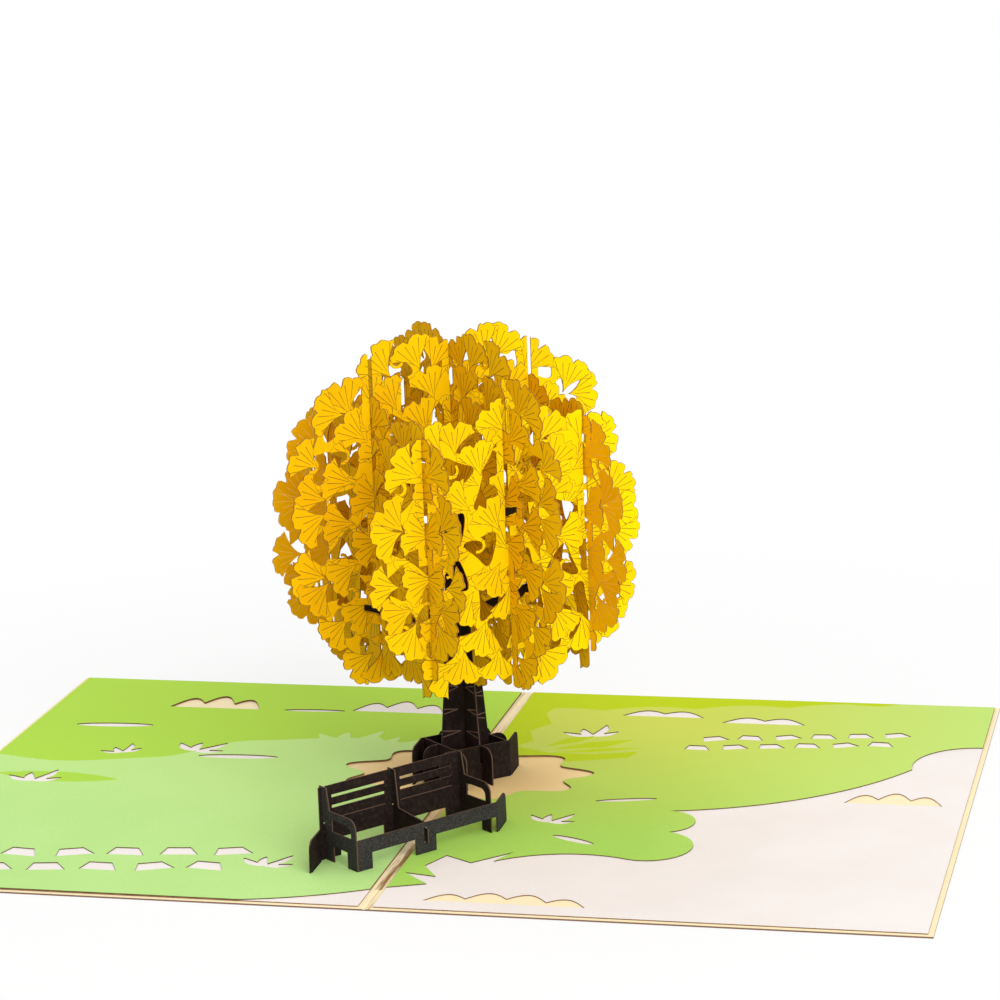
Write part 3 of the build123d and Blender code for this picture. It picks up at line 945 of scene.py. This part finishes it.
def bench_slits():
    """Slits for the tongues of the bench's two tabs."""
    along = Vector((cos(radians(bench_angle)), sin(radians(bench_angle))))
    across = Vector((-along.y, along.x))
    centre = Vector((0, bench_y))
    foot = centre - across * (bench_depth / 2) + along * (bench_length / 2 + bench_overshoot)
    other = centre * 2 - foot - Vector((0, tab_length))
    half = (sheet + slit_play) / 2
    start, end = tab_shoulder - slit_play / 2, tab_length - tab_shoulder + slit_play / 2
    return [rectangle(p.x - half, p.x + half, p.y + start, p.y + end) for p in (foot, other)]


def lime_left():
    """Sunlit back of the left leaf, with a wavy lower edge, and a pointed patch in front of it."""
    edge = []
    for x in np.linspace(-leaf_width, 0, left_lime_points):
        rise = left_lime_rise * tanh((x - left_lime_rise_place) / left_lime_rise_width)
        edge.append((x, left_lime_edge + rise + left_lime_wave * sin(x / lime_wave_length)))
    patch = arc_points((-20, 0), (0, 4), (20, 0), lime_patch_steps)
    patch += arc_points((20, 0), (0, -5), (-20, 0), lime_patch_steps)
    return [edge + [(0, lime_back), (-leaf_width, lime_back)], moved(patch, *lime_patch_place)]


def lime_right():
    """Sunlit corner of the right leaf: a strip along the back, a band by the fold and a few blades."""
    edge = [(x, right_lime_edge + right_lime_slope * x + right_lime_scallop * abs(sin(x / lime_wave_length)))
            for x in np.linspace(0, right_lime_reach, right_lime_points)]
    blades = [moved(blade, *lime_blade_place) for blade in lime_blades]
    return [edge + [(right_lime_reach, lime_back), (0, lime_back)], lime_band] + blades


def ground_panel(name, side, base, openings, fields, bushes, materials):
    """Printed panel with cut-outs. The bushes keep the first colour where they stand in the fields."""
    body = panel_loop(side)
    cuts = openings + [root_patch()] + bench_slits()

    def paint(points):
        keep = inside(points, body) & ~covered(points, cuts)
        return np.where(keep, np.where(covered(points, fields) & ~covered(points, bushes), 1, 0), -1)

    origin = Vector((0, 0, base + panel_thickness / 2))
    piece = cut_sheet(name + "_paper", [body] + cuts + fields + bushes, paint, origin, RIGHT, AWAY,
                      panel_thickness, materials)
    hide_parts(name)


left_cuts = [front_strip()] + each(cloud, left_clouds + left_cream_clouds)
left_cuts += each(lens, left_lenses) + all_blades(left_tufts) + stones(*left_stones)
right_cuts = [pale_field()] + each(cloud, right_clouds) + each(lens, right_lenses)
right_cuts += all_blades(right_tufts) + stones(*right_stones)
left_greens = [left_mint, left_lime, green_edge]
right_greens = [right_mint, right_lime, green_edge]
pales = [pale_face, pale_face, pale_edge]
green_base = cover_thickness + panel_thickness
ground_panel("left_green_panel", -1, green_base, left_cuts, lime_left(), all_blades(left_bushes),
             left_greens)
ground_panel("right_green_panel", 1, green_base, right_cuts, lime_right(), [], right_greens)
ground_panel("left_pale_panel", -1, cover_thickness, each(cloud, left_cream_clouds), [], [],
             pales)
ground_panel("right_pale_panel", 1, cover_thickness, each(cloud, right_cream_clouds), [], [],
             pales)


# Materials of the kept CAD sheets
dark = ((27, 18, 16), (36, 26, 23))
dark_edge = (92, 70, 58)
dark_patch = 240.0
fold_margin = 0.25
score_drop = 9.6
score_half_width = 0.14
# Inner and outer distance in millimetres of the painted shadow of the tree on the cover.
painted_tree_shadow_places = (26.0, 52.0)
worn_half_width = 1.6
bench_wear_places = (bench_y - 34, bench_y + 4)


def dress(name, material):
    data = nodes[name].data
    data.materials.clear()
    data.materials.append(material)


def dark_card(name, face_normal):
    paper = Paper(name + "_card", *dark, patch=dark_patch, **rough_card)
    paper.grain(900.0, (46, 33, 29))
    paper.cut_edges(paper.facing(face_normal), dark_edge)
    dress(name, paper.done())


def between(paper, value, low, high):
    """One where a value lies between two limits, in millimetres."""
    above = paper.math("GREATER_THAN", value, low * MM)
    return paper.math("MULTIPLY", above, paper.math("LESS_THAN", value, high * MM))


normal_a = along_a.cross(UP)
normal_b = along_b.cross(UP)
for name, normal in (("root_strip_front", normal_a), ("root_strip_back", normal_a),
                     ("root_strip_left", normal_b), ("root_strip_right", normal_b)):
    dark_card(name, normal)

along_rail = Vector((cos(radians(bench_angle)), sin(radians(bench_angle)), 0))
along_end = Vector((-along_rail.y, along_rail.x, 0))
bench_middle = along_rail.y * bench_y
ground = cover_thickness + 2 * panel_thickness
dark_card("bench_divider", along_rail)
dark_card("bench_right_end", along_rail)

rail = Paper("bench_rail_card", (42, 39, 38), (50, 47, 46), patch=dark_patch, **rough_card)
rail.grain(2300.0, (70, 69, 66))
left_end = bench_middle - bench_length / 2 + fold_margin
in_left_end = rail.math("LESS_THAN", rail.along(along_rail, rail.coords), left_end * MM)
left_share = rail.math("MULTIPLY", rail.facing(along_rail), in_left_end)
other_share = rail.math("MULTIPLY", rail.facing(along_end), rail.math("SUBTRACT", 1.0, in_left_end))
rail.cut_edges(rail.math("ADD", left_share, other_share), dark_edge)
dress("bench_rail", rail.done())

back = Paper("bench_back_card", *dark, patch=dark_patch, **rough_card)
back.grain(900.0, (48, 35, 30))
back.cut_edges(back.facing(along_end), dark_edge)
score_height = ground + bench_back_height - score_drop
low_line = between(back, back.along(UP, back.coords), score_height - score_half_width,
                   score_height + score_half_width)
place = back.along(along_rail, back.coords)
for bay in (-1, 1):
    middle = bench_middle + bay * bench_length / 4
    line = between(back, place, middle - slat_slot_length / 2, middle + slat_slot_length / 2)
    back.colour = back.mix(back.math("MULTIPLY", low_line, line), back.colour, srgb(96, 70, 60))
dress("bench_back", back.done())

cover = Paper("cover_card", (253, 237, 196), (250, 231, 186), patch=18.0)
# Painted shadow of the tree: the cover turns tan round the trunk, fully within the inner distance and fading
# out by the outer one.
cover.around(tree_centre, *painted_tree_shadow_places, (238, 206, 142))
from_fold = cover.math("ABSOLUTE", cover.along(RIGHT, cover.coords))
near_fold = cover.math("LESS_THAN", from_fold, worn_half_width * MM)


def fold_wear(scale, stretch, low, high, share, colour):
    """Streaks of another colour along the fold of the cover."""
    streak = cover.ramp(cover.noise(scale, detail=3.0, rough=0.6, stretch=stretch), low, high)
    wear = cover.math("MULTIPLY", near_fold, cover.math("MULTIPLY", streak, share))
    cover.colour = cover.mix(wear, cover.colour, srgb(*colour))


by_bench = between(cover, cover.along(AWAY, cover.coords), *bench_wear_places)
fold_wear(700.0, (1.0, 0.035, 1.0), low=0.52, high=0.66, share=0.7, colour=(178, 138, 84))
fold_wear(900.0, (1.0, 0.05, 1.0), low=0.44, high=0.62, share=by_bench, colour=(150, 112, 64))
cover.cut_edges(cover.facing(UP), (128, 96, 78))
dress("cover", cover.done())


# Stage
floor_half_size = 6.0
floor_colour = (0.9, 0.9, 0.9, 1)
floor_roughness = 0.9
floor_fade = {"From Min": 0.15, "From Max": 0.32, "To Min": 0.62, "To Max": 1.0}
white = (1, 1, 1, 1)
ambient_strength = 0.37
lamp_target = Vector((0, 0, 0.05))
lamps = (
    ("key", (0.80, -0.95, 0.78), 1.3, 16.8),
    ("top", (0.1, 0.1, 1.6), 1.6, 8.0),
    ("back", (-0.80, 0.95, 0.90), 1.3, 6.0),
    ("fill", (-1.1, -0.8, 0.9), 1.2, 0.8),
)
camera_place = (0.2342, -0.901, 0.307)
camera_azimuth = 13.56
camera_elevation = 13.29
camera_roll = -2.05
camera_lens = 120.2
camera_sensor = 36.0
camera_clip = (0.01, 100.0)


def background_rays(tree):
    """One for the rays that should meet a white background."""
    path = tree.nodes.new("ShaderNodeLightPath")
    seen = path.outputs["Is Camera Ray"]
    for kind in ("Is Glossy Ray", "Is Transmission Ray"):
        either = tree.nodes.new("ShaderNodeMath")
        either.operation = "MAXIMUM"
        tree.links.new(seen, either.inputs[0])
        tree.links.new(path.outputs[kind], either.inputs[1])
        seen = either.outputs[0]
    return seen


def blend_shaders(tree, factor, first, second, output):
    """Mix of two shaders, on the output of a node tree."""
    blend = tree.nodes.new("ShaderNodeMixShader")
    tree.links.new(factor, blend.inputs["Fac"])
    tree.links.new(first.outputs[0], blend.inputs[1])
    tree.links.new(second.outputs[0], blend.inputs[2])
    tree.links.new(blend.outputs[0], tree.nodes[output].inputs["Surface"])


def make_floor(scene):
    """White floor that shows the shadows near the card and blends into the background further out."""
    half = floor_half_size
    mesh = bpy.data.meshes.new("floor")
    corners = [(x, y, 0) for x, y in rectangle(-half, half, -half, half)]
    mesh.from_pydata(corners, [], [(0, 1, 2, 3)])
    floor = bpy.data.objects.new("floor", mesh)
    scene.collection.objects.link(floor)
    material = bpy.data.materials.new("floor_white")
    material.use_nodes = True
    tree = material.node_tree
    shader = tree.nodes["Principled BSDF"]
    shader.inputs["Base Color"].default_value = floor_colour
    shader.inputs["Roughness"].default_value = floor_roughness
    glow = tree.nodes.new("ShaderNodeEmission")
    place = tree.nodes.new("ShaderNodeNewGeometry")
    away = tree.nodes.new("ShaderNodeVectorMath")
    away.operation = "LENGTH"
    share = tree.nodes.new("ShaderNodeMapRange")
    for socket, value in floor_fade.items():
        share.inputs[socket].default_value = value
    seen = tree.nodes.new("ShaderNodeMath")
    seen.operation = "MULTIPLY"
    tree.links.new(place.outputs["Position"], away.inputs[0])
    tree.links.new(away.outputs["Value"], share.inputs["Value"])
    tree.links.new(share.outputs["Result"], seen.inputs[0])
    tree.links.new(background_rays(tree), seen.inputs[1])
    blend_shaders(tree, seen.outputs[0], shader, glow, "Material Output")
    mesh.materials.append(material)


def make_world(scene):
    world = bpy.data.worlds.new("studio")
    scene.world = world
    world.use_nodes = True
    tree = world.node_tree
    ambient = tree.nodes["Background"]
    ambient.inputs["Color"].default_value = white
    ambient.inputs["Strength"].default_value = ambient_strength
    backdrop = tree.nodes.new("ShaderNodeBackground")
    backdrop.inputs["Color"].default_value = white
    blend_shaders(tree, background_rays(tree), ambient, backdrop, "World Output")


def make_lamp(scene, name, place, size, power):
    data = bpy.data.lights.new(name, "AREA")
    data.size = size
    data.energy = power
    light = bpy.data.objects.new(name, data)
    light.location = place
    light.rotation_mode = "QUATERNION"
    light.rotation_quaternion = (lamp_target - Vector(place)).to_track_quat("-Z", "Y")
    scene.collection.objects.link(light)


def make_camera(scene):
    data = bpy.data.cameras.new("camera")
    data.sensor_width = camera_sensor
    data.lens = camera_lens
    data.clip_start, data.clip_end = camera_clip
    camera = bpy.data.objects.new("camera", data)
    azimuth, elevation, roll = radians(camera_azimuth), radians(camera_elevation), radians(camera_roll)
    back = Vector((sin(azimuth) * cos(elevation), -cos(azimuth) * cos(elevation), sin(elevation)))
    right = UP.cross(back).normalized()
    up = back.cross(right)
    tilted_right = right * cos(roll) + up * sin(roll)
    tilted_up = up * cos(roll) - right * sin(roll)
    turn = Matrix((tilted_right, tilted_up, back)).transposed()
    camera.matrix_world = Matrix.Translation(camera_place) @ turn.to_4x4()
    scene.collection.objects.link(camera)
    scene.camera = camera


def make_stage():
    scene = bpy.context.scene
    scene.view_settings.view_transform = "Standard"
    make_floor(scene)
    make_world(scene)
    for lamp in lamps:
        make_lamp(scene, *lamp)
    make_camera(scene)


make_stage()
